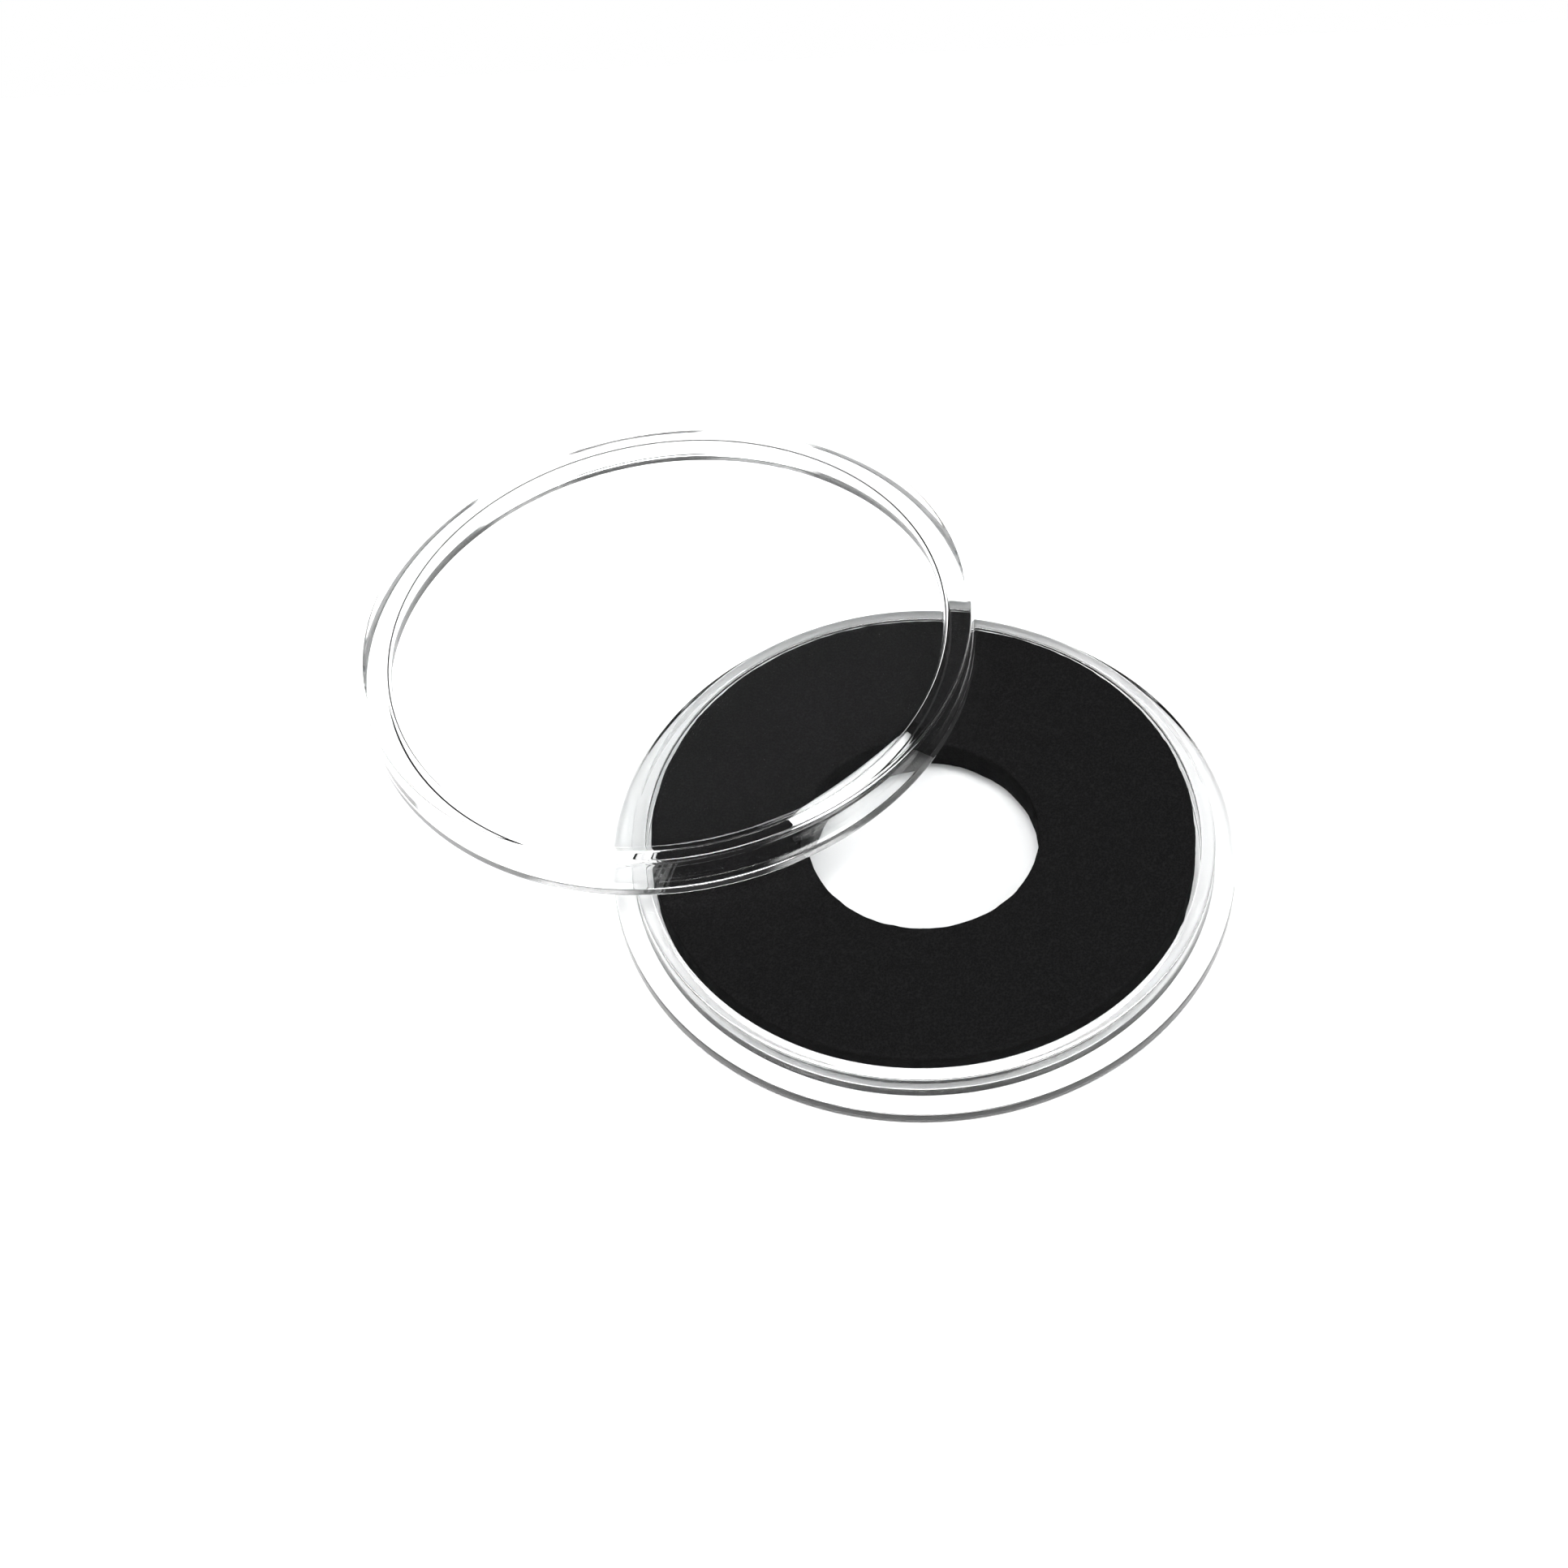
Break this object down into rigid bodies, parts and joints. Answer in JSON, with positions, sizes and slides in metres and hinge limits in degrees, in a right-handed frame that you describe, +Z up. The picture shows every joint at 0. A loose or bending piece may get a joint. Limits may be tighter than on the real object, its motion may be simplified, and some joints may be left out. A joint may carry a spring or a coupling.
{
  "type": "coin capsule",
  "caption": "Round clear two-part capsule, open, with a black foam ring whose middle hole holds a coin; the lid lies half on the base.",
  "frame": {"origin": "centre of the base's underside, where it rests on the table", "axes": "+Z up through the middle of the base and of the foam ring; the lid lies from the base's centre towards -X and +Y, at 135 degrees from +X"},
  "size_m": [0.0748, 0.0748, 0.0102],
  "materials": {
    "clear_plastic_base": "polished clear moulded plastic",
    "clear_plastic_lid": "polished clear moulded plastic",
    "black_foam": "matte closed-cell foam with die-cut edges"
  },
  "bodies": {
    "base": {"base_shell": "clear_plastic_base"},
    "lid": {"lid_shell": "clear_plastic_lid"},
    "ring": {"foam_ring": "black_foam"}
  },
  "joints": [
    {"name": "lid_lift", "type": "slide", "parent": "base", "child": "lid", "axis": [0, 0, 1], "range_m": [0, 0.045]},
    {"name": "ring_lift", "type": "slide", "parent": "base", "child": "ring", "axis": [0, 0, 1], "range_m": [0, 0.018]}
  ],
  "couplings": [
    {"joint": "ring_lift", "follows": "lid_lift", "ratio": 0.4}
  ]
}
